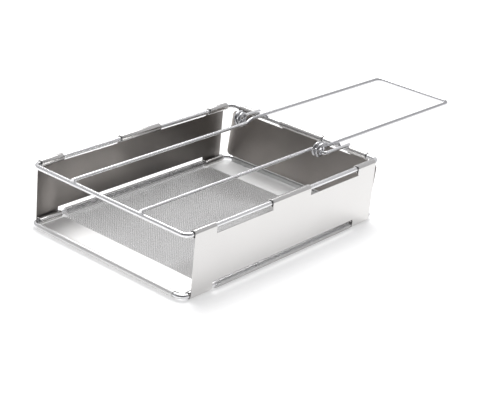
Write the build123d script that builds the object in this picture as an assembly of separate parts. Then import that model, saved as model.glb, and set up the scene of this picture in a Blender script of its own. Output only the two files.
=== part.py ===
from build123d import *
import math
import os

# Folding camp toaster: a wire base frame with a wire-mesh screen, two sheet
# side panels hinged to it, a top wire frame they carry, two bread rack wires
# welded on the top frame, a hinged back panel and a folding wire handle.
# The origin is the centre of the base on its underside. The handle points
# to the rear, +Y, and the toaster stands open for use.

# Frame wires
WIDTH = 120.0  # between the axes of the two side wires
LENGTH = 171.8  # between the axes of the front and rear wires
RISE = 36.55  # from the base frame's axis up to the top frame's
WIRE = 3.0  # wire diameter
CORNER = 4.5  # corner radius at the wire's axis

# Sheet of the side and back panels, curled round the frame wires
SHEET = 0.5
CURL_CLEARANCE = 0.1  # running gap between a wire and the curl round it
CURL_TURN = 300.0  # degrees of curl

# Side panels
SIDE_FRONT_GAP = 0.1  # from the end of the frame's front bend back to the panel
SIDE_REAR_GAP = 1.1  # from the end of the frame's rear bend forward to the panel
FOOT_GAP = 1.45  # from the top of the mesh's roll up to the lower edge
HEAD_GAP = 1.4  # from the top curls down to the upper edge
END_CURL = 17.0  # length of the curls near the panel's ends
MIDDLE_CURL = 34.0  # length of the curl at the middle

# Back panel
BACK_SIDE_GAP = 1.25  # from each side wire's axis in to the panel's edge
BACK_LEAN = 6.2  # degrees, foot forward
BACK_FOOT_GAP = 0.47  # from the rear strip's wrapping up to the lower edge
BACK_CORNER = 3.0
BACK_OUTER_CURL = 13.4  # length of each outer curl
BACK_CURL_GAP = 0.3  # from a rack wire's cranked end out to an outer curl

# Solid strips in front of and behind the mesh, wrapped round the base frame
BORDER = 0.4
BORDER_CLEARANCE = 0.03
BORDER_SIDE_GAP = 0.4  # from a side curl in to the strip's edge
WRAP_GAP = 1.5  # from the end of the frame's bend in to the part round the wire
CORNER_CUT = 3.4  # off the strip's two corners beside its wrapping
FRONT_BORDER = 22.9  # from the front wire's axis back to the inner edge
REAR_BORDER = 20.9  # from the rear wire's axis forward to the inner edge
FRONT_LIP = 5.0  # from the front wire's axis back to the end of the front strip's lip
LIP_GAP = 0.05  # between the lip and the strip under it
REAR_TURN = 255.0  # degrees that the rear strip turns over its wire

# Mesh screen, rolled round the side wires
MESH = 0.5
MESH_CLEARANCE = 0.45  # between a side wire and the mesh round it
MESH_TURN = 285.0  # degrees that the mesh turns round a side wire
MESH_FRONT_GAP = 3.8  # from a front curl back to the mesh's roll
MESH_REAR_GAP = 0.8  # from a rear curl forward to the mesh's roll
MESH_TUCK = 3.0  # under each border
GAP_PITCH = 8.0
GAP = 6.9

# Rack and handle wires
ROD = 2.2  # wire diameter
WELD_GAP = 0.03
RACK = 26.6  # rack wire's axis, from the middle
RACK_BEND = 2.0
RACK_OVERHANG = 1.1  # each end, past the axis of the wire it is welded on
HINGE_INSET = 23.4  # handle hinge, forward of the rear wire's axis

# Handle
LEG_GAP = 0.7  # from a rack wire out to the handle's leg
REACH = 148.5  # from the hinge back to the crossbar's axis
HANDLE_CORNER = 4.0
HANDLE_LIFT = 0.2  # between a leg and the rear wire that it rests over
HANDLE_DROOP = 1.19  # fall of the leg from its elbow to the crossbar
ELBOW = 9.5  # from the hinge back to where the leg runs straight
COIL = 3.75  # mean radius of the coil
COIL_GAP = 0.75  # between neighbouring turns
COIL_TURNS = 1.5
COIL_TAIL = 3.0
EYE_GAP = 0.33  # between the coil and the rack wire that hangs in it
TAIL_GAP = 0.475  # from the coil out to the rack wire's cranked end

# Worked out from the sizes above
HALF_W = WIDTH / 2
HALF_L = LENGTH / 2
BEND_END = HALF_L - CORNER  # where the side wires run straight
CURL_INNER = WIRE / 2 + CURL_CLEARANCE
CURL_OUTER = CURL_INNER + SHEET
ROLL_INNER = WIRE / 2 + BORDER_CLEARANCE
ROLL_OUTER = ROLL_INNER + BORDER
MESH_INNER = WIRE / 2 + MESH_CLEARANCE
BASE_Z = MESH_INNER + MESH
TOP_Z = BASE_Z + RISE
SIDE_FRONT = BEND_END - SIDE_FRONT_GAP
SIDE_REAR = BEND_END - SIDE_REAR_GAP
PANEL_HEAD = CURL_OUTER + HEAD_GAP
PANEL_BOTTOM = 2 * BASE_Z + FOOT_GAP
PANEL_TOP = TOP_Z - PANEL_HEAD
BACK_WIDTH = WIDTH - 2 * BACK_SIDE_GAP
BACK_FOOT = ROLL_OUTER + BACK_FOOT_GAP
BORDER_WIDTH = WIDTH - 2 * (CURL_OUTER + BORDER_SIDE_GAP)
WRAP_WIDTH = WIDTH - 2 * (CORNER + WRAP_GAP)
HINGE = HALF_L - HINGE_INSET
LEG = RACK + ROD + LEG_GAP
COIL_PITCH = ROD + COIL_GAP
RACK_TAIL = LEG + COIL_PITCH * COIL_TURNS + ROD + TAIL_GAP
BACK_CURL_START = RACK_TAIL + ROD / 2 + BACK_CURL_GAP
RACK_Z = TOP_Z + (WIRE + ROD) / 2 + WELD_GAP
EYE_Z = RACK_Z + COIL - ROD - EYE_GAP


def across(shape, start, end):
    """Extrudes a face drawn in the YZ plane from X = start to X = end."""
    return Pos(start, 0, 0) * extrude(Plane.YZ * shape, amount=end - start)


def along(shape, start, end):
    """Extrudes a face drawn in the XZ plane from Y = start to Y = end."""
    return Pos(0, end, 0) * extrude(Plane.XZ * shape, amount=end - start)


def box_2d(left, right, low, high):
    """Rectangle between two pairs of limits."""
    return Pos((left + right) / 2, (low + high) / 2) * Rectangle(right - left, high - low)


def curl(inner, outer, start, turn):
    """Part of a ring round the origin, from one angle through a turn in degrees."""
    rim = CenterArc((0, 0), outer, start, turn)
    bore = CenterArc((0, 0), inner, start, turn)
    return make_face([rim, Line(rim @ 1, bore @ 1), bore, Line(bore @ 0, rim @ 0)])


def tube(path, diameter):
    """Round wire along a path."""
    return sweep(Plane(origin=path @ 0, z_dir=path % 0) * Circle(diameter / 2), path=path)


def wire_loop(height):
    """Frame wire bent to a rectangle with round corners."""
    outline = Pos(0, 0, height) * RectangleRounded(WIDTH, LENGTH, CORNER)
    return tube(outline.wire(), WIRE)


def strip(depth, edge):
    """Flat strip behind the front wire; edge is where it meets its wrapping."""
    floor = box_2d(-BORDER_WIDTH / 2, BORDER_WIDTH / 2, WIRE, depth)
    floor = chamfer(floor.vertices().group_by(Axis.Y)[0], CORNER_CUT)
    tongue = box_2d(-WRAP_WIDTH / 2, WRAP_WIDTH / 2, edge, depth)
    return extrude(Pos(0, -HALF_L, BASE_Z - ROLL_OUTER) * (floor + tongue), amount=BORDER)


def wrapping(outline):
    """Sheet of a strip where it goes round its wire."""
    return Pos(0, -HALF_L, BASE_Z) * across(outline, -WRAP_WIDTH / 2, WRAP_WIDTH / 2)


def front_border_plate():
    """Front strip: out under the wire, up over it and back down in a straight lip."""
    middle = ROLL_INNER + BORDER / 2
    tip = Vector(FRONT_LIP, -ROLL_INNER + LIP_GAP + BORDER / 2)
    leaves = math.degrees(math.atan2(tip.Y, tip.X) + math.acos(middle / tip.length))
    ray = Vector(1, 0).rotate(Axis.Z, leaves)
    half = ray * (BORDER / 2)
    start = ray * middle
    lip = make_face(Polyline(start + half, tip + half, tip - half, start - half, close=True))
    return strip(FRONT_BORDER, 0) + wrapping(curl(ROLL_INNER, ROLL_OUTER, 270, leaves - 270) + lip)


def rear_border_plate():
    """Rear strip: up in front of its wire, over it and down behind."""
    riser = box_2d(ROLL_INNER, ROLL_OUTER, -ROLL_OUTER, 0)
    wrap = wrapping(riser + curl(ROLL_INNER, ROLL_OUTER, 0, REAR_TURN))
    return mirror(strip(REAR_BORDER, ROLL_INNER) + wrap, Plane.XZ)


def mesh_screen():
    """Net under the borders, its long edges rolled round the side wires."""
    front = -HALF_L + FRONT_BORDER
    rear = HALF_L - REAR_BORDER
    roll_start = -SIDE_FRONT + END_CURL + MESH_FRONT_GAP
    roll_end = SIDE_REAR - END_CURL - MESH_REAR_GAP
    tucked = box_2d(-BORDER_WIDTH / 2, BORDER_WIDTH / 2, front - MESH_TUCK, rear + MESH_TUCK)
    outline = tucked + box_2d(-HALF_W, HALF_W, roll_start, roll_end)
    wires = GAP_PITCH - GAP
    counts = [int((span + wires) / GAP_PITCH) for span in (BORDER_WIDTH, rear - front)]
    grid = Pos(0, (front + rear) / 2) * GridLocations(GAP_PITCH, GAP_PITCH, *counts)
    gaps = [(place * Rectangle(GAP, GAP)).wire() for place in grid]
    net = extrude(Face(outline.face().outer_wire(), gaps), amount=MESH)
    roll = Pos(HALF_W, 0, BASE_Z) * along(curl(MESH_INNER, BASE_Z, 270, MESH_TURN), roll_start, roll_end)
    return net + roll + mirror(roll, Plane.YZ)


def side_panel():
    """Right side panel: sheet outside the wires, with curls round both of them."""
    outline = box_2d(-SIDE_FRONT, SIDE_REAR, PANEL_BOTTOM, PANEL_TOP)
    outline += box_2d(-MIDDLE_CURL / 2, MIDDLE_CURL / 2, PANEL_TOP, TOP_Z)
    ends = [(-SIDE_FRONT, -SIDE_FRONT + END_CURL), (SIDE_REAR - END_CURL, SIDE_REAR)]
    curls = Part()
    for start, end in ends:
        outline += box_2d(start, end, BASE_Z, TOP_Z)
        low = along(curl(CURL_INNER, CURL_OUTER, 0, -CURL_TURN), start, end)
        curls += Pos(HALF_W, 0, BASE_Z) * low
    for start, end in [*ends, (-MIDDLE_CURL / 2, MIDDLE_CURL / 2)]:
        top = along(curl(CURL_INNER, CURL_OUTER, 0, CURL_TURN), start, end)
        curls += Pos(HALF_W, 0, TOP_Z) * top
    return across(outline, HALF_W + CURL_INNER, HALF_W + CURL_OUTER) + curls


def back_panel():
    """Back panel, hanging from the top frame's rear wire with its foot forward."""
    lean = math.radians(BACK_LEAN)
    axis_to_foot = RISE - BACK_FOOT - (CURL_INNER + SHEET / 2) * math.sin(lean)
    drop = axis_to_foot / math.cos(lean)
    half = BACK_WIDTH / 2
    outline = fillet(box_2d(-half, half, -drop, -PANEL_HEAD).vertices(), BACK_CORNER)
    outer = BACK_CURL_START + BACK_OUTER_CURL
    spans = [
        (-outer, -BACK_CURL_START),
        (-MIDDLE_CURL / 2, MIDDLE_CURL / 2),
        (BACK_CURL_START, outer),
    ]
    curls = Part()
    for start, end in spans:
        outline += box_2d(start, end, -PANEL_HEAD - 1, 0)
        curls += across(curl(CURL_INNER, CURL_OUTER, 0, CURL_TURN), start, end)
    sheet = along(outline, CURL_INNER, CURL_OUTER)
    return Pos(0, HALF_L, TOP_Z) * Rot(X=-BACK_LEAN) * (sheet + curls)


def rack_wire():
    """Right bread rack wire, welded on top of the front and rear wires."""
    path = FilletPolyline(
        (RACK, -HALF_L - RACK_OVERHANG, RACK_Z),
        (RACK, HINGE, RACK_Z),
        (RACK_TAIL, HINGE, RACK_Z),
        (RACK_TAIL, HALF_L + RACK_OVERHANG, RACK_Z),
        radius=RACK_BEND,
    )
    return tube(path, ROD)


def biarc(start, start_way, end, end_way):
    """Two tangent arcs that join two points in the two given directions."""
    chord = end - start
    slope = 2 * chord.dot(start_way + end_way)
    spread = 4 * (2 - 2 * start_way.dot(end_way)) * chord.dot(chord)
    arm = 2 * chord.dot(chord) / (slope + math.sqrt(slope**2 + spread))
    middle = ((start + start_way * arm) + (end - end_way * arm)) / 2
    first = TangentArc(start, middle, tangent=start_way)
    return [first, TangentArc(middle, end, tangent=first % 1)]


def coil_point(turns):
    """Place and direction on the coil, a number of turns after the leg joins it."""
    angle = 2 * math.pi * turns
    place = Vector(
        LEG + COIL_PITCH * turns,
        HINGE - COIL * math.sin(angle),
        EYE_Z - COIL * math.cos(angle),
    )
    rise = COIL_PITCH / (2 * math.pi)
    way = Vector(rise, -COIL * math.cos(angle), COIL * math.sin(angle))
    return place, way.normalized()


def handle_path():
    """Axis of the handle's right half, from the crossbar's middle to the coil's end."""
    over_wire = TOP_Z + (WIRE + ROD) / 2 + HANDLE_LIFT
    fall = HANDLE_DROOP / (REACH - ELBOW)
    elbow_z = over_wire + fall * (HALF_L - HINGE - ELBOW)
    bar_z = elbow_z - HANDLE_DROOP
    leg = FilletPolyline(
        (0, HINGE + REACH, bar_z),
        (LEG, HINGE + REACH, bar_z),
        (LEG, HINGE + ELBOW, elbow_z),
        radius=HANDLE_CORNER,
    )
    edges = list(leg.edges())
    place, way = leg @ 1, leg % 1
    end, end_way = coil_point(0)[0], Vector(0, -1, 0)
    edges += biarc(place, way, end, end_way)
    steps = round(COIL_TURNS * 4)
    for step in range(1, steps + 1):
        place, way = end, end_way
        end, end_way = coil_point(COIL_TURNS * step / steps)
        if step == steps:
            end_way = Vector(0, 1, 0)
        edges += biarc(place, way, end, end_way)
    edges.append(Line(end, end + end_way * COIL_TAIL))
    return Wire([e.edge() if isinstance(e, BaseLineObject) else e for e in edges])


def least_gap(path, diameter):
    """Smallest distance between stretches of the wire that aren't next to each other."""
    count = 700
    first = path.length - (COIL_TURNS * 2 * math.pi * COIL + COIL_TAIL + 2 * ELBOW)
    step = (path.length - first) / count
    spots = [path.position_at((first + step * i) / path.length) for i in range(count + 1)]
    apart = int(math.pi * COIL / step)
    pairs = ((i, j) for i in range(count + 1) for j in range(i + apart, count + 1))
    return min((spots[i] - spots[j]).length for i, j in pairs) - diameter


def handle_wire():
    """Handle: one wire, two legs and a crossbar, coiled at each end for the hinge."""
    path = handle_path()
    half = tube(path, ROD)
    print("handle coil, least gap to itself", round(least_gap(path, ROD), 2), "mm")
    print("handle half, volume to section times length",
          round(half.volume / (path.length * math.pi * ROD**2 / 4), 4))
    return half + mirror(half, Plane.YZ)


side = side_panel()
rack = rack_wire()
nodes = {
    "base_wire_frame": wire_loop(BASE_Z),
    "mesh_screen": mesh_screen(),
    "front_border_plate": front_border_plate(),
    "rear_border_plate": rear_border_plate(),
    "right_side_panel": side,
    "left_side_panel": mirror(side, Plane.YZ),
    "top_wire_frame": wire_loop(TOP_Z),
    "back_panel": back_panel(),
    "right_rack_wire": rack,
    "left_rack_wire": mirror(rack, Plane.YZ),
    "handle_wire": handle_wire(),
}
os.makedirs("parts", exist_ok=True)
for name, shape in nodes.items():
    export_step(shape, f"parts/{name}.step")
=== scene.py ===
"""Folding camp toaster: visual pieces, finishes, studio and camera around the CAD frame."""

import math

import bpy
from mathutils import Matrix, Vector


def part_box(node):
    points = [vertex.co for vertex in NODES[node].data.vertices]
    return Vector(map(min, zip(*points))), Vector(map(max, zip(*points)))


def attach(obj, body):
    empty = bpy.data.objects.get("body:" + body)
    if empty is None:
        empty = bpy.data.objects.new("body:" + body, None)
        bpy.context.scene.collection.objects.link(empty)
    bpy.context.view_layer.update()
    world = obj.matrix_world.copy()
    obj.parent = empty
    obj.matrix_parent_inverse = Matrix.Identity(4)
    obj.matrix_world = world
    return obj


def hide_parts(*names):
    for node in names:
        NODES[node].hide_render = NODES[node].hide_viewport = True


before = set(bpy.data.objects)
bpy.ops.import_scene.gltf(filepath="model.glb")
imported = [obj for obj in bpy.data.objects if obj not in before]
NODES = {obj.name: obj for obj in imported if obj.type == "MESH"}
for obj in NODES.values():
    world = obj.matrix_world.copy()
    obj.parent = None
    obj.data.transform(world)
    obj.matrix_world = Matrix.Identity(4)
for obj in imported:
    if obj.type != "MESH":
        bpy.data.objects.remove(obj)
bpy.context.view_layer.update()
MM = 0.001
HAIR = 1e-6  # allowance between places that are meant to be the same
EDGE_ANGLE = math.radians(50)  # faces that meet at more than this have a sharp edge

# Boxes of the CAD nodes
BASE_LOW, BASE_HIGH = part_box("base_wire_frame")
TOP_LOW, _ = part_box("top_wire_frame")
RACK_LOW, RACK_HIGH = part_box("right_rack_wire")
_, HANDLE_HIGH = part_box("handle_wire")
MESH_LOW, MESH_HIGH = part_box("mesh_screen")
_, BORDER_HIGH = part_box("front_border_plate")
SIDE_LOW, SIDE_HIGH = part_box("right_side_panel")
BACK_LOW, BACK_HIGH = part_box("back_panel")

# Frame wires, by their axes
WIRE_R = (BASE_HIGH[2] - BASE_LOW[2]) / 2
BASE_Z = BASE_LOW[2] + WIRE_R
TOP_Z = TOP_LOW[2] + WIRE_R
HALF_W = BASE_HIGH[0] - WIRE_R
HALF_L = BASE_HIGH[1] - WIRE_R
CORNER = 4.5 * MM
CORNER_STEPS = 12
WIRE_DETAIL = 8  # bevel resolution of frame and rack wires

# Rack wires: straight run, cranked tail, and the beads that hold them
ROD_R = 1.1 * MM
RACK_X = RACK_LOW[0] + ROD_R
RACK_TAIL_X = RACK_HIGH[0] - ROD_R
RACK_Z = RACK_HIGH[2] - ROD_R
RACK_BEND = 2.0 * MM
BEND_STEPS = 10
HINGE_Y = 62.5 * MM
WELD_WIDE = (1.45 * MM, 1.45 * MM, 0.55 * MM)
WELD_SMALL = (1.2 * MM, 1.2 * MM, 0.5 * MM)
WELD_SIDES, WELD_RINGS = 20, 10

# Handle wire: grip, legs, elbows and coils
LEG_X = 29.5 * MM
HANDLE_BEND = 4.0 * MM
HANDLE_LIFT = 0.2 * MM  # gap over the rear wire
HANDLE_DROOP = 1.19 * MM  # fall from the elbow to the grip
HANDLE_DETAIL = 6
ELBOW = 9.5 * MM
ELBOW_STEPS = 12
COIL_R = 3.75 * MM
COIL_PITCH = 2.95 * MM
COIL_TURNS = 1.5
COIL_STEPS = 48
COIL_TAIL = 3.0 * MM
COIL_Z = HANDLE_HIGH[2] - ROD_R - COIL_R

# Sheet panels
SHEET = 0.5 * MM
CURL_R = WIRE_R + 0.3 * MM  # inside of the curls
CURL_TURN = math.radians(300)
CURL_STEPS = 30
PANEL_BOTTOM = BASE_Z + 3.9 * MM
PANEL_TOP = TOP_Z - 3.5 * MM
END_CURL = 17.0 * MM
MIDDLE_CURL = 34.0 * MM
BACK_LEAN = math.radians(6.2)
BACK_CORNER = 3.0 * MM
BACK_CORNER_STEPS = 8
BACK_CURLS = (38.0 * MM, 51.4 * MM)  # where each outer curl starts and ends
BACK_SLOT = 3.5 * MM
BROKEN_EDGE = 0.07 * MM
BROKEN_STEPS = 2
FACING = 0.9  # how squarely a face looks at the bread to count as inside

# Woven mesh: long wires run front to rear, cross wires side to side
WEAVE_R = 0.14 * MM
WEAVE_SWING = 0.12 * MM  # how far a mesh wire goes over and under the level
WEAVE_PITCH = 0.9425 * MM
WEAVE_DETAIL = 0  # four-sided, because there are hundreds
ACROSS = int(2 * (BORDER_HIGH[0] - WEAVE_R) / WEAVE_PITCH) + 1
ROWS = int((MESH_HIGH[1] - MESH_LOW[1] - 2 * WEAVE_R) / WEAVE_PITCH) + 1
FIRST_X = -(ACROSS - 1) * WEAVE_PITCH / 2
FIRST_Y = (MESH_HIGH[1] + MESH_LOW[1] - (ROWS - 1) * WEAVE_PITCH) / 2
TUCKED = 6  # rows at each end that stop at the borders' sides

# Rolled edges of the mesh: cross wires on the ring, long wires inside them
ROLL_TURN = math.radians(285)
ROLL_STEPS = 18
ROLL_SIDES = 6
ROLL_EDGE_ANGLE = math.radians(70)  # wider than a six-sided wire's corners
RING_R = BASE_Z - WEAVE_R
ROLL_R = RING_R - 2 * WEAVE_SWING

# Steel grain: how it is stretched, scale and detail of its noises, depth of its relief
ALONG_X = (1, 14, 14)
ALONG_Y = (14, 1, 14)
EVEN = (1, 1, 1)
STREAKS = (90.0, 4.0)
CLOUDS = (45.0, 3.0)
RELIEF = 0.1 * MM

# Painted light and painted shade in the finishes' colours: axis, where each sets in and is full,
# and its factor
# painted shade: the side panels' inside darker over their front end
PAINTED_SHADE_FRONT = ("Y", -50 * MM, -80 * MM, 0.72)
# painted light: the back panel's inside lighter towards its left
PAINTED_LIGHT_LEFT = ("X", 12 * MM, -42 * MM, 2.1)
# painted shade: the rear strip darker where it wraps over the rear wire
PAINTED_SHADE_WRAP = ("Z", 3.0 * MM, 3.8 * MM, 0.35)

# Studio
FLOOR_SIZE = 12.0
FLOOR_COLOR = (0.8, 0.8, 0.8, 1)
FLOOR_ROUGHNESS = 0.9
GLOW = 0.42  # brightens the floor for the camera and in reflections
# painted shadow: the glow is dimmer under the toaster
GLOW_PAINTED_SHADOW = (0.95, 0.95, 0.95, 1)  # glow's colour under the toaster
GLOW_OUTSIDE = (1, 1, 1, 1)
GLOW_FADE = (8 * MM, 6 * MM)  # inside and outside the base wires
ROOM_AWAY = (-0.60, 0.75, 0.55)  # away from the camera and up
ROOM_DARK = (0.30, (0.05, 0.05, 0.055, 1))
ROOM_LIGHT = (0.62, (0.6, 0.6, 0.61, 1))
LAMP_PLACE = Vector((-0.35, 0.35, 1.0))
LAMP_SIZE = 0.8
LAMP_POWER = 9.8

# Camera, from the photograph's perspective
CAMERA_AZIMUTH = math.radians(38.7986)
CAMERA_ELEVATION = math.radians(23.7332)
CAMERA_ROLL = math.radians(5.4559)
CAMERA_PLACE = Vector((486.515, -575.200, 347.875)) * MM
CAMERA_LENS = 103.02
CAMERA_NEAR, CAMERA_FAR = 0.01, 50.0
SENSOR = 36.0


def clear_selection():
    """Nothing selected, object mode."""
    if bpy.context.object and bpy.context.object.mode != "OBJECT":
        bpy.ops.object.mode_set(mode="OBJECT")
    bpy.ops.object.select_all(action="DESELECT")


def select(obj):
    """Only this object selected and active, in object mode."""
    clear_selection()
    obj.select_set(True)
    bpy.context.view_layer.objects.active = obj


def named(obj, name):
    """Gives an object and its mesh the same name."""
    obj.name = name
    obj.data.name = name
    return obj


def settle(obj):
    """Puts the object's place into its mesh."""
    select(obj)
    bpy.ops.object.transform_apply(location=True, rotation=True, scale=True)


def join(objs, name):
    """Joins objects into one of that name."""
    clear_selection()
    for obj in objs:
        obj.select_set(True)
    bpy.context.view_layer.objects.active = objs[0]
    bpy.ops.object.join()
    return named(bpy.context.object, name)


def mirrored(obj, name):
    """The left twin of a right piece, facing outwards."""
    select(obj)
    bpy.ops.object.duplicate()
    copy = bpy.context.object
    copy.scale = (-1, 1, 1)
    settle(copy)
    bpy.ops.object.mode_set(mode="EDIT")
    bpy.ops.mesh.select_all(action="SELECT")
    bpy.ops.mesh.normals_make_consistent(inside=False)
    bpy.ops.object.mode_set(mode="OBJECT")
    return named(copy, name)


def mirrored_path(path):
    """A path's reflection through the middle, in reverse, to lead up to it."""
    return [Vector((-p.x, p.y, p.z)) for p in reversed(path)]


def rounded(points, radius, steps=BEND_STEPS, closed=False):
    """Corner points with each corner turned into an arc of that radius."""
    count = len(points)
    path = [] if closed else [points[0]]
    for i in range(count) if closed else range(1, count - 1):
        before, here, after = points[i - 1], points[i], points[(i + 1) % count]
        back = (before - here).normalized()
        ahead = (after - here).normalized()
        half = back.angle(ahead) / 2
        setback = radius / math.tan(half)
        centre = here + (back + ahead).normalized() * (radius / math.sin(half))
        first = here + back * setback - centre
        axis = back.cross(ahead).normalized()
        turn = -(math.pi - 2 * half)
        for k in range(steps + 1):
            path.append(centre + Matrix.Rotation(turn * k / steps, 3, axis) @ first)
    if not closed:
        path.append(points[-1])
    return path


def tube(name, path, radius, closed=False, detail=WIRE_DETAIL):
    """Round wire along a path of points, as a mesh."""
    clear_selection()
    bpy.ops.curve.primitive_nurbs_path_add(location=(0, 0, 0))
    curve = bpy.context.object.data
    curve.splines.clear()
    spline = curve.splines.new("POLY")
    spline.points.add(len(path) - 1)
    for spot, place in zip(spline.points, path):
        spot.co = (*place, 1.0)
    spline.use_cyclic_u = closed
    curve.dimensions = "3D"
    curve.twist_mode = "MINIMUM"
    curve.bevel_depth = radius
    curve.bevel_resolution = detail
    curve.use_fill_caps = not closed
    bpy.ops.object.convert(target="MESH")
    obj = named(bpy.context.object, name)
    settle(obj)
    bpy.ops.object.shade_smooth_by_angle(angle=EDGE_ANGLE)
    return obj


def wire_loop(name, height):
    """Closed frame wire with round corners."""
    ends = ((HALF_W, -HALF_L), (HALF_W, HALF_L), (-HALF_W, HALF_L), (-HALF_W, -HALF_L))
    corners = [Vector((x, y, height)) for x, y in ends]
    path = rounded(corners, CORNER, CORNER_STEPS, closed=True)
    return tube(name, path, WIRE_R, closed=True)


def weld(place, size):
    """Small flattened bead between two crossed wires."""
    clear_selection()
    bpy.ops.mesh.primitive_uv_sphere_add(
        segments=WELD_SIDES, ring_count=WELD_RINGS, radius=1.0, location=place
    )
    obj = named(bpy.context.object, "weld")
    obj.scale = size
    settle(obj)
    bpy.ops.object.shade_smooth()
    return obj


def rack_wire(name):
    """Right bread rack wire, cranked at the rear, with its two welds."""
    points = [
        Vector((RACK_X, RACK_LOW[1], RACK_Z)),
        Vector((RACK_X, HINGE_Y, RACK_Z)),
        Vector((RACK_TAIL_X, HINGE_Y, RACK_Z)),
        Vector((RACK_TAIL_X, RACK_HIGH[1], RACK_Z)),
    ]
    wire = tube(name, rounded(points, RACK_BEND), ROD_R)
    seam = RACK_Z - ROD_R
    front = weld(Vector((RACK_X, -HALF_L, seam)), WELD_WIDE)
    rear = weld(Vector((RACK_TAIL_X, HALF_L, seam)), WELD_SMALL)
    return join([wire, front, rear], name)


def ease(start, end, share):
    """Smooth step between two values."""
    return start + (end - start) * share * share * (3 - 2 * share)


def handle_wire(name):
    """Handle wire with its two coils, on the same line as the CAD wire."""
    over_wire = TOP_Z + WIRE_R + ROD_R + HANDLE_LIFT
    grip_y = HANDLE_HIGH[1] - ROD_R
    fall = HANDLE_DROOP / (grip_y - HINGE_Y - ELBOW)
    elbow_z = over_wire + fall * (HALF_L - HINGE_Y - ELBOW)
    grip_z = elbow_z - HANDLE_DROOP
    leg = [
        Vector((0, grip_y, grip_z)),
        Vector((LEG_X, grip_y, grip_z)),
        Vector((LEG_X, HINGE_Y + ELBOW, elbow_z)),
    ]
    half = rounded(leg, HANDLE_BEND)
    for k in range(1, ELBOW_STEPS):
        share = k / ELBOW_STEPS
        height = ease(elbow_z, COIL_Z - COIL_R, share)
        half.append(Vector((LEG_X, HINGE_Y + ELBOW * (1 - share), height)))
    for k in range(COIL_STEPS + 1):
        turns = COIL_TURNS * k / COIL_STEPS
        angle = 2 * math.pi * turns
        x = LEG_X + COIL_PITCH * turns
        y = HINGE_Y - COIL_R * math.sin(angle)
        half.append(Vector((x, y, COIL_Z - COIL_R * math.cos(angle))))
    half.append(half[-1] + Vector((0, COIL_TAIL, 0)))
    return tube(name, mirrored_path(half)[:-1] + half[1:], ROD_R, detail=HANDLE_DETAIL)


def bar(name, start, end, radius, sides):
    """Straight thin wire between two points."""
    clear_selection()
    along = end - start
    bpy.ops.mesh.primitive_cylinder_add(
        vertices=sides,
        radius=radius,
        depth=along.length,
        location=(start + end) / 2,
        rotation=along.to_track_quat("Z", "Y").to_euler(),
    )
    obj = named(bpy.context.object, name)
    settle(obj)
    bpy.ops.object.shade_smooth_by_angle(angle=ROLL_EDGE_ANGLE)
    return obj


def arrayed(obj, count, step):
    """Repeats obj along a step."""
    select(obj)
    repeat = obj.modifiers.new("repeat", "ARRAY")
    repeat.count = count
    repeat.use_relative_offset = False
    repeat.use_constant_offset = True
    repeat.constant_offset_displace = step
    bpy.ops.object.modifier_apply(modifier=repeat.name)
    return obj


def woven(count, first, phase):
    """Places and heights along a mesh wire, over one crossing wire and under the next."""
    level = WEAVE_R + WEAVE_SWING
    heights = (level + WEAVE_SWING, level - WEAVE_SWING)
    return [(first + k * WEAVE_PITCH, heights[(k + phase) % 2]) for k in range(count)]


def cross_path(row):
    """Path of a cross wire's flat part in its row."""
    y = FIRST_Y + row * WEAVE_PITCH
    return [Vector((x, y, z)) for x, z in woven(ACROSS, FIRST_X, row + 1)]


def roll_place(radius, angle):
    """Place and height on the mesh's right rolled edge, from below the wire outwards."""
    return HALF_W + radius * math.sin(angle), BASE_Z - radius * math.cos(angle)


def long_mesh_wires(name):
    """Front to rear wires of the mesh, flat and on its two rolled edges."""
    wires = []
    for phase in (0, 1):
        x = FIRST_X + phase * WEAVE_PITCH
        path = [Vector((x, y, z)) for y, z in woven(ROWS, FIRST_Y, phase)]
        wire = tube("long", path, WEAVE_R, detail=WEAVE_DETAIL)
        wires.append(arrayed(wire, (ACROSS - phase + 1) // 2, (2 * WEAVE_PITCH, 0, 0)))
    front = FIRST_Y + TUCKED * WEAVE_PITCH - WEAVE_R
    rear = FIRST_Y + (ROWS - 1 - TUCKED) * WEAVE_PITCH + WEAVE_R
    around = int(ROLL_TURN * ROLL_R / WEAVE_PITCH)
    for side in (1, -1):
        for k in range(around + 1):
            x, z = roll_place(ROLL_R, ROLL_TURN * k / around)
            start, end = Vector((side * x, front, z)), Vector((side * x, rear, z))
            wires.append(bar("long", start, end, WEAVE_R, ROLL_SIDES))
    return join(wires, name)


def cross_mesh_wires(name):
    """Side to side wires of the mesh, rolled round the side wires between the borders."""
    wires = []
    for phase in (0, 1):
        flat = cross_path(TUCKED + phase)
        roll = []
        for k in range(ROLL_STEPS + 1):
            x, z = roll_place(RING_R, ROLL_TURN * k / ROLL_STEPS)
            roll.append(Vector((x, flat[0].y, z)))
        path = mirrored_path(roll) + flat + roll
        wire = tube("cross", path, WEAVE_R, detail=WEAVE_DETAIL)
        count = (ROWS - 2 * TUCKED - phase + 1) // 2
        wires.append(arrayed(wire, count, (0, 2 * WEAVE_PITCH, 0)))
    for row in [*range(TUCKED), *range(ROWS - TUCKED, ROWS)]:
        wires.append(tube("cross", cross_path(row), WEAVE_R, detail=WEAVE_DETAIL))
    return join(wires, name)


def pick(obj, kind, test):
    """Selects the vertices that pass a test, or the edges or faces with only such vertices."""
    select(obj)
    bpy.ops.object.mode_set(mode="EDIT")
    bpy.ops.mesh.select_mode(type=kind)
    bpy.ops.mesh.select_all(action="DESELECT")
    bpy.ops.object.mode_set(mode="OBJECT")
    mesh = obj.data
    if kind == "VERT":
        for vertex in mesh.vertices:
            vertex.select = test(vertex.co)
    else:
        for item in mesh.polygons if kind == "FACE" else mesh.edges:
            item.select = all(test(mesh.vertices[i].co) for i in item.vertices)
    bpy.ops.object.mode_set(mode="EDIT")


def between(value, low, high):
    """True for a value within two limits, with a hair's allowance."""
    return low - HAIR <= value <= high + HAIR


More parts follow.
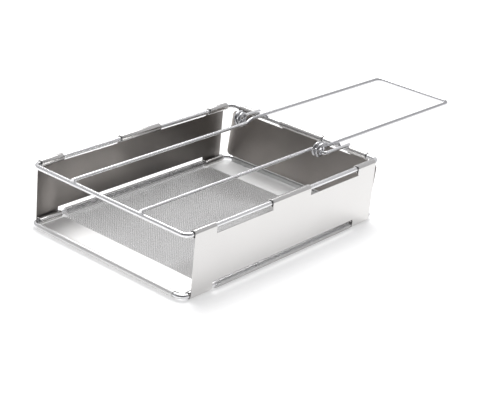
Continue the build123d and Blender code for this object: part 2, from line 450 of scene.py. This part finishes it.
def flat_sheet(name, place, turn, size):
    """Rectangle of sheet, left in edit mode for its cuts."""
    clear_selection()
    bpy.ops.mesh.primitive_plane_add(size=1.0, location=place, rotation=turn)
    obj = bpy.context.object
    obj.name = name
    obj.scale = (*size, 1)
    settle(obj)
    bpy.ops.object.mode_set(mode="EDIT")
    return obj


def cut(planes):
    """Cuts the mesh in edit mode along planes, each a place and a normal."""
    for place, normal in planes:
        bpy.ops.mesh.select_all(action="SELECT")
        bpy.ops.mesh.bisect(plane_co=place, plane_no=normal)


def trimmed(obj, test):
    """Removes the faces whose vertices all pass a test."""
    pick(obj, "FACE", test)
    bpy.ops.mesh.delete(type="FACE")


def rolled(obj, test, centre, axis):
    """Rolls the edges that pass a test round a wire's axis."""
    pick(obj, "EDGE", test)
    bpy.ops.mesh.spin(steps=CURL_STEPS, angle=CURL_TURN, center=centre, axis=axis)


def thickened(obj, outward):
    """Gives a bent sheet its thickness away from the wires, and breaks its edges."""
    bpy.ops.mesh.select_all(action="SELECT")
    bpy.ops.mesh.remove_doubles(threshold=HAIR)
    bpy.ops.mesh.normals_make_consistent(inside=False)
    bpy.ops.object.mode_set(mode="OBJECT")
    largest = max(obj.data.polygons, key=lambda face: face.area)
    if largest.normal.dot(Vector(outward)) < 0:
        bpy.ops.object.mode_set(mode="EDIT")
        bpy.ops.mesh.select_all(action="SELECT")
        bpy.ops.mesh.flip_normals()
        bpy.ops.object.mode_set(mode="OBJECT")
    wall = obj.modifiers.new("wall", "SOLIDIFY")
    wall.thickness = SHEET
    wall.offset = 1.0
    bpy.ops.object.modifier_apply(modifier=wall.name)
    broken = obj.modifiers.new("broken", "BEVEL")
    broken.width = BROKEN_EDGE
    broken.segments = BROKEN_STEPS
    broken.limit_method = "ANGLE"
    broken.angle_limit = EDGE_ANGLE
    bpy.ops.object.modifier_apply(modifier=broken.name)
    bpy.ops.object.shade_smooth_by_angle(angle=EDGE_ANGLE)
    level = obj.modifiers.new("level", "WEIGHTED_NORMAL")
    level.weight = 100
    level.keep_sharp = True
    bpy.ops.object.modifier_apply(modifier=level.name)


def two_sided(obj, inside):
    """Two material slots, the second for the faces that pass the inside test."""
    obj.data.materials.append(None)
    obj.data.materials.append(None)
    for face in obj.data.polygons:
        if inside(face):
            face.material_index = 1


def side_panel(name):
    """Right side panel: one sheet, slotted beside its curls, which wrap both wires."""
    front, rear = SIDE_LOW[1], SIDE_HIGH[1]
    x = HALF_W + CURL_R
    place = (x, (front + rear) / 2, (BASE_Z + TOP_Z) / 2)
    obj = flat_sheet(name, place, (0, math.pi / 2, 0), (TOP_Z - BASE_Z, rear - front))
    ends = (front + END_CURL, rear - END_CURL)
    middle = MIDDLE_CURL / 2
    cut([((x, y, 0), (0, 1, 0)) for y in (*ends, -middle, middle)])
    cut([((x, 0, z), (0, 0, 1)) for z in (PANEL_BOTTOM, PANEL_TOP)])
    for low, high in ((ends[0], -middle), (middle, ends[1])):
        trimmed(obj, lambda p: p.z > PANEL_TOP - HAIR and between(p.y, low, high))
    trimmed(obj, lambda p: p.z < PANEL_BOTTOM + HAIR and between(p.y, *ends))
    rolled(obj, lambda p: p.z > TOP_Z - HAIR, (HALF_W, 0, TOP_Z), (0, 1, 0))
    rolled(obj, lambda p: p.z < BASE_Z + HAIR, (HALF_W, 0, BASE_Z), (0, -1, 0))
    thickened(obj, (1, 0, 0))
    two_sided(obj, lambda face: face.normal.x < -FACING and face.center.x > HALF_W + WIRE_R)
    return obj


def back_panel(name):
    """Back panel, made upright on its wire's axis and then leant forward."""
    half = BACK_HIGH[0]
    reach = TOP_Z - BACK_LOW[2] - (CURL_R + SHEET) * math.sin(BACK_LEAN)
    drop = reach / math.cos(BACK_LEAN)
    place = (0, CURL_R, -drop / 2)
    obj = flat_sheet(name, place, (-math.pi / 2, 0, 0), (2 * half, drop))
    inner, outer = BACK_CURLS
    middle = MIDDLE_CURL / 2
    cut([((x, 0, 0), (1, 0, 0)) for x in (-outer, -inner, -middle, middle, inner, outer)])
    cut([((0, 0, -BACK_SLOT), (0, 0, 1))])
    for low, high in ((-half, -outer), (-inner, -middle), (middle, inner), (outer, half)):
        trimmed(obj, lambda p: p.z > -BACK_SLOT - HAIR and between(p.x, low, high))
    pick(obj, "VERT", lambda p: abs(p.x) > half - HAIR)
    bpy.ops.mesh.bevel(offset=BACK_CORNER, segments=BACK_CORNER_STEPS, affect="VERTICES")
    rolled(obj, lambda p: p.z > -HAIR, (0, 0, 0), (-1, 0, 0))
    thickened(obj, (0, 1, 0))
    two_sided(obj, lambda face: face.normal.y < -FACING and face.center.y > WIRE_R)
    obj.rotation_euler = (-BACK_LEAN, 0, 0)
    obj.location = (0, HALF_L, TOP_Z)
    settle(obj)
    return obj


def new_material(name):
    """Node material, with its tree and its shader."""
    material = bpy.data.materials.new(name)
    material.use_nodes = True
    return material, material.node_tree, material.node_tree.nodes["Principled BSDF"]


def math_node(tree, operation):
    """Math node of that operation."""
    node = tree.nodes.new("ShaderNodeMath")
    node.operation = operation
    return node


def noise_node(tree, vector, scale, detail):
    """Noise texture on a vector."""
    node = tree.nodes.new("ShaderNodeTexNoise")
    node.inputs["Scale"].default_value = scale
    node.inputs["Detail"].default_value = detail
    tree.links.new(vector, node.inputs["Vector"])
    return node


def faded(tree, value, start, end, low=0.0, high=1.0):
    """Output that eases from low to high while a value goes from start to end."""
    fade = tree.nodes.new("ShaderNodeMapRange")
    fade.interpolation_type = "SMOOTHSTEP"
    fade.inputs["From Min"].default_value = start
    fade.inputs["From Max"].default_value = end
    fade.inputs["To Min"].default_value = low
    fade.inputs["To Max"].default_value = high
    tree.links.new(value, fade.inputs["Value"])
    return fade.outputs["Result"]


def grain_group():
    """Shared steel surface: cloudy mottle and fine drawn streaks."""
    group = bpy.data.node_groups.new("steel_grain", "ShaderNodeTree")
    face = group.interface
    for name, kind, default in (
        ("Color", "NodeSocketColor", (0.6, 0.6, 0.6, 1)),
        ("Dark Color", "NodeSocketColor", (0.5, 0.5, 0.5, 1)),
        ("Streak Scale", "NodeSocketVector", (1, 1, 1)),
        ("Roughness", "NodeSocketFloat", 0.2),
        ("Variation", "NodeSocketFloat", 0.1),
    ):
        socket = face.new_socket(name=name, in_out="INPUT", socket_type=kind)
        socket.default_value = default
    face.new_socket(name="Color", in_out="OUTPUT", socket_type="NodeSocketColor")
    face.new_socket(name="Roughness", in_out="OUTPUT", socket_type="NodeSocketFloat")
    face.new_socket(name="Height", in_out="OUTPUT", socket_type="NodeSocketFloat")

    nodes, links = group.nodes, group.links
    given = nodes.new("NodeGroupInput")
    out = nodes.new("NodeGroupOutput")
    place = nodes.new("ShaderNodeTexCoord")
    stretch = nodes.new("ShaderNodeMapping")
    links.new(place.outputs["Object"], stretch.inputs["Vector"])
    links.new(given.outputs["Streak Scale"], stretch.inputs["Scale"])
    streaks = noise_node(group, stretch.outputs["Vector"], *STREAKS)
    clouds = noise_node(group, place.outputs["Object"], *CLOUDS)
    mix = nodes.new("ShaderNodeMix")
    mix.data_type = "RGBA"
    links.new(clouds.outputs["Fac"], mix.inputs["Factor"])
    links.new(given.outputs["Dark Color"], mix.inputs["A"])
    links.new(given.outputs["Color"], mix.inputs["B"])
    links.new(mix.outputs["Result"], out.inputs["Color"])

    # The two noises average one half each, so their sum less one varies round nothing
    both = math_node(group, "ADD")
    links.new(streaks.outputs["Fac"], both.inputs[0])
    links.new(clouds.outputs["Fac"], both.inputs[1])
    centred = math_node(group, "SUBTRACT")
    centred.inputs[1].default_value = 1.0
    links.new(both.outputs[0], centred.inputs[0])
    spread = math_node(group, "MULTIPLY_ADD")
    links.new(centred.outputs[0], spread.inputs[0])
    links.new(given.outputs["Variation"], spread.inputs[1])
    links.new(given.outputs["Roughness"], spread.inputs[2])
    links.new(spread.outputs[0], out.inputs["Roughness"])
    links.new(streaks.outputs["Fac"], out.inputs["Height"])
    return group


def steel(name, grain, color, dark, streak, roughness, variation, bump):
    """Steel finish from the shared grain."""
    material, tree, shader = new_material(name)
    shader.inputs["Metallic"].default_value = 1.0
    node = tree.nodes.new("ShaderNodeGroup")
    node.node_tree = grain
    node.inputs["Color"].default_value = (*color, 1)
    node.inputs["Dark Color"].default_value = (*dark, 1)
    node.inputs["Streak Scale"].default_value = streak
    node.inputs["Roughness"].default_value = roughness
    node.inputs["Variation"].default_value = variation
    tree.links.new(node.outputs["Color"], shader.inputs["Base Color"])
    tree.links.new(node.outputs["Roughness"], shader.inputs["Roughness"])
    relief = tree.nodes.new("ShaderNodeBump")
    relief.inputs["Strength"].default_value = bump
    relief.inputs["Distance"].default_value = RELIEF
    tree.links.new(node.outputs["Height"], relief.inputs["Height"])
    tree.links.new(relief.outputs["Normal"], shader.inputs["Normal"])
    return material


def paint_light_or_shade(material, axis, start, end, factor):
    """Paints light or shade into a finish's colour: scales it by a factor that sets in from start
    to end along an axis.
    """
    tree = material.node_tree
    base = tree.nodes["Principled BSDF"].inputs["Base Color"]
    where = tree.nodes.new("ShaderNodeTexCoord")
    parts = tree.nodes.new("ShaderNodeSeparateXYZ")
    tree.links.new(where.outputs["Object"], parts.inputs[0])
    scale = tree.nodes.new("ShaderNodeVectorMath")
    scale.operation = "SCALE"
    tree.links.new(base.links[0].from_socket, scale.inputs[0])
    strength = faded(tree, parts.outputs[axis], start, end, 1.0, factor)
    tree.links.new(strength, scale.inputs["Scale"])
    tree.links.new(scale.outputs[0], base)


def finishes():
    """The steel finishes, by name."""
    grain = grain_group()
    found = {}
    for name, color, dark, streak, roughness, variation, bump in (
        ("panel_sheet", (0.72, 0.71, 0.70), (0.67, 0.66, 0.65), ALONG_X, 0.22, 0.08, 0.12),
        # panel_inside: panel_sheet darkened, painted shade of the panels' inside
        ("panel_inside", (0.28, 0.262, 0.248), (0.221, 0.207, 0.196), ALONG_X, 0.4, 0.08, 0.12),
        # back_panel_inside: panel_sheet darkened as painted shade, a little lighter than
        # panel_inside as painted light
        ("back_panel_inside", (0.305, 0.285, 0.27), (0.24, 0.225, 0.213), ALONG_X, 0.4, 0.08, 0.12),
        ("border_sheet", (0.84, 0.835, 0.83), (0.78, 0.775, 0.77), ALONG_Y, 0.5, 0.1, 0.12),
        ("rear_border_sheet", (0.95, 0.95, 0.945), (0.88, 0.88, 0.875), ALONG_Y, 0.62, 0.1, 0.12),
        ("polished_wire", (0.88, 0.88, 0.89), (0.81, 0.81, 0.82), EVEN, 0.27, 0.06, 0.0),
        # handle_wire_steel: polished_wire darkened, painted shade
        ("handle_wire_steel", (0.60, 0.60, 0.615), (0.55, 0.55, 0.565), EVEN, 0.27, 0.06, 0.0),
        ("screen_wire", (0.98, 0.975, 0.97), (0.94, 0.935, 0.93), EVEN, 0.18, 0.1, 0.0),
        # screen_weft: screen_wire darkened, painted shade that sets the cross wires apart from the
        # long wires
        ("screen_weft", (0.60, 0.592, 0.588), (0.54, 0.532, 0.528), EVEN, 0.25, 0.1, 0.0),
    ):
        found[name] = steel(name, grain, color, dark, streak, roughness, variation, bump)

    # Painted shade over the front end of the side panels' inside
    paint_light_or_shade(found["panel_inside"], *PAINTED_SHADE_FRONT)
    # Painted light on the left half of the back panel's inside
    paint_light_or_shade(found["back_panel_inside"], *PAINTED_LIGHT_LEFT)
    # Painted shade on the rear strip's wrap over the rear wire
    paint_light_or_shade(found["rear_border_sheet"], *PAINTED_SHADE_WRAP)
    return found


def finish_with(obj, *materials):
    """The object's materials, one for each of its slots."""
    if not obj.data.materials:
        obj.data.materials.append(None)
    for place, material in enumerate(materials):
        obj.data.materials[place] = material


def refinish(node, material):
    """New material on a CAD node's own slots."""
    for slot in NODES[node].material_slots:
        slot.material = material


def camera():
    """Camera at the photograph's place."""
    sin_a, cos_a = math.sin(CAMERA_AZIMUTH), math.cos(CAMERA_AZIMUTH)
    sin_e, cos_e = math.sin(CAMERA_ELEVATION), math.cos(CAMERA_ELEVATION)
    sin_r, cos_r = math.sin(CAMERA_ROLL), math.cos(CAMERA_ROLL)
    back = Vector((sin_a * cos_e, -cos_a * cos_e, sin_e))
    level = Vector((cos_a, sin_a, 0))
    up = back.cross(level)
    right = level * cos_r + up * sin_r
    top = up * cos_r - level * sin_r
    bpy.ops.object.camera_add()
    cam = bpy.context.object
    turn = Matrix((right, top, back)).transposed().to_4x4()
    cam.matrix_world = Matrix.Translation(CAMERA_PLACE) @ turn
    cam.data.lens = CAMERA_LENS
    cam.data.sensor_width = SENSOR
    cam.data.clip_start = CAMERA_NEAR
    cam.data.clip_end = CAMERA_FAR
    bpy.context.scene.camera = cam


def floor_glow(tree):
    """Glow that only the camera and reflections see, a little weaker under the toaster as painted
    shadow.
    """
    glow = tree.nodes.new("ShaderNodeEmission")
    path = tree.nodes.new("ShaderNodeLightPath")
    seen = math_node(tree, "MAXIMUM")
    tree.links.new(path.outputs["Is Camera Ray"], seen.inputs[0])
    tree.links.new(path.outputs["Is Glossy Ray"], seen.inputs[1])
    level = math_node(tree, "MULTIPLY")
    level.inputs[1].default_value = GLOW
    tree.links.new(seen.outputs[0], level.inputs[0])
    tree.links.new(level.outputs[0], glow.inputs["Strength"])

    where = tree.nodes.new("ShaderNodeTexCoord")
    size = tree.nodes.new("ShaderNodeVectorMath")
    size.operation = "ABSOLUTE"
    tree.links.new(where.outputs["Object"], size.inputs[0])
    parts = tree.nodes.new("ShaderNodeSeparateXYZ")
    tree.links.new(size.outputs[0], parts.inputs[0])
    outside = math_node(tree, "MAXIMUM")
    within, beyond = GLOW_FADE
    for place, (axis, edge) in enumerate((("X", HALF_W), ("Y", HALF_L))):
        past = faded(tree, parts.outputs[axis], edge - within, edge + beyond)
        tree.links.new(past, outside.inputs[place])
    # Painted shadow: dimmer glow inside the base wires
    shadow_tint = tree.nodes.new("ShaderNodeMix")
    shadow_tint.data_type = "RGBA"
    shadow_tint.inputs["A"].default_value = GLOW_PAINTED_SHADOW
    shadow_tint.inputs["B"].default_value = GLOW_OUTSIDE
    tree.links.new(outside.outputs[0], shadow_tint.inputs["Factor"])
    tree.links.new(shadow_tint.outputs["Result"], glow.inputs["Color"])
    return glow


def studio_floor():
    """White floor that keeps the shadow."""
    clear_selection()
    bpy.ops.mesh.primitive_plane_add(size=FLOOR_SIZE, location=(0, 0, 0))
    floor = bpy.context.object
    floor.name = "floor"
    material, tree, shader = new_material("studio_floor")
    shader.inputs["Base Color"].default_value = FLOOR_COLOR
    shader.inputs["Roughness"].default_value = FLOOR_ROUGHNESS
    shader.inputs["Specular IOR Level"].default_value = 0.0
    glow = floor_glow(tree)
    add = tree.nodes.new("ShaderNodeAddShader")
    tree.links.new(shader.outputs[0], add.inputs[0])
    tree.links.new(glow.outputs[0], add.inputs[1])
    tree.links.new(add.outputs[0], tree.nodes["Material Output"].inputs["Surface"])
    finish_with(floor, material)


def studio_room():
    """Room that darkens towards the camera's side, with a white backdrop for the camera."""
    world = bpy.data.worlds.new("studio")
    bpy.context.scene.world = world
    world.use_nodes = True
    tree = world.node_tree
    nodes, links = tree.nodes, tree.links
    room = nodes["Background"]
    where = nodes.new("ShaderNodeTexCoord")
    side = nodes.new("ShaderNodeVectorMath")
    side.operation = "DOT_PRODUCT"
    side.inputs[1].default_value = ROOM_AWAY
    links.new(where.outputs["Generated"], side.inputs[0])
    half = math_node(tree, "MULTIPLY_ADD")
    half.inputs[1].default_value = 0.5
    half.inputs[2].default_value = 0.5
    links.new(side.outputs["Value"], half.inputs[0])
    ramp = nodes.new("ShaderNodeValToRGB")
    for stop, (position, color) in zip(ramp.color_ramp.elements, (ROOM_DARK, ROOM_LIGHT)):
        stop.position, stop.color = position, color
    links.new(half.outputs[0], ramp.inputs["Fac"])
    links.new(ramp.outputs["Color"], room.inputs["Color"])

    white = nodes.new("ShaderNodeBackground")
    white.inputs["Strength"].default_value = 1.0
    white.inputs["Color"].default_value = (1, 1, 1, 1)
    seen = nodes.new("ShaderNodeLightPath")
    choose = nodes.new("ShaderNodeMixShader")
    links.new(seen.outputs["Is Camera Ray"], choose.inputs["Fac"])
    links.new(room.outputs[0], choose.inputs[1])
    links.new(white.outputs[0], choose.inputs[2])
    links.new(choose.outputs[0], nodes["World Output"].inputs["Surface"])


def studio_lamp():
    """Soft square lamp overhead, aimed at the middle."""
    bpy.ops.object.light_add(type="AREA", location=LAMP_PLACE)
    lamp = bpy.context.object
    lamp.name = "overhead"
    lamp.data.size = LAMP_SIZE
    lamp.data.energy = LAMP_POWER
    lamp.rotation_euler = LAMP_PLACE.to_track_quat("Z", "Y").to_euler()


def main():
    """Makes every piece, rides it on its body, and sets up the studio."""
    steels = finishes()
    wire = [steels["polished_wire"]]
    # The second finish of each sheet is a darker copy for its inside faces: painted shade
    sides = [steels["panel_sheet"], steels["panel_inside"]]
    back = [steels["panel_sheet"], steels["back_panel_inside"]]

    long_wires = long_mesh_wires("mesh_long_wires")
    cross_wires = cross_mesh_wires("mesh_cross_wires")
    rack = rack_wire("rack_right")
    side = side_panel("panel_right")
    base_frame = wire_loop("base_frame", BASE_Z)
    top_frame = wire_loop("top_frame_loop", TOP_Z)
    handle = handle_wire("handle")
    left_rack = mirrored(rack, "rack_left")
    left_side = mirrored(side, "panel_left")
    back_sheet = back_panel("panel_back")
    for obj, body, node, materials, slot in (
        (base_frame, "base", "base_wire_frame", wire, "wire_rod"),
        (top_frame, "top_frame", "top_wire_frame", wire, "wire_rod"),
        (handle, "handle", "handle_wire", [steels["handle_wire_steel"]], "wire_rod"),
        (long_wires, "base", "mesh_screen", [steels["screen_wire"]], "mesh_wire"),
        (cross_wires, "base", "mesh_screen", [steels["screen_weft"]], "mesh_wire"),
        (rack, "top_frame", "right_rack_wire", wire, "wire_rod"),
        (left_rack, "top_frame", "left_rack_wire", wire, "wire_rod"),
        (side, "right_panel", "right_side_panel", sides, "panel_sheet"),
        (left_side, "left_panel", "left_side_panel", sides, "panel_sheet"),
        (back_sheet, "back_flap", "back_panel", back, "panel_sheet"),
    ):
        finish_with(obj, *materials)
        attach(obj, body)
        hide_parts(node)
    refinish("front_border_plate", steels["border_sheet"])
    refinish("rear_border_plate", steels["rear_border_sheet"])
    studio_floor()
    studio_room()
    studio_lamp()
    bpy.context.scene.view_settings.view_transform = "Standard"
    camera()


main()
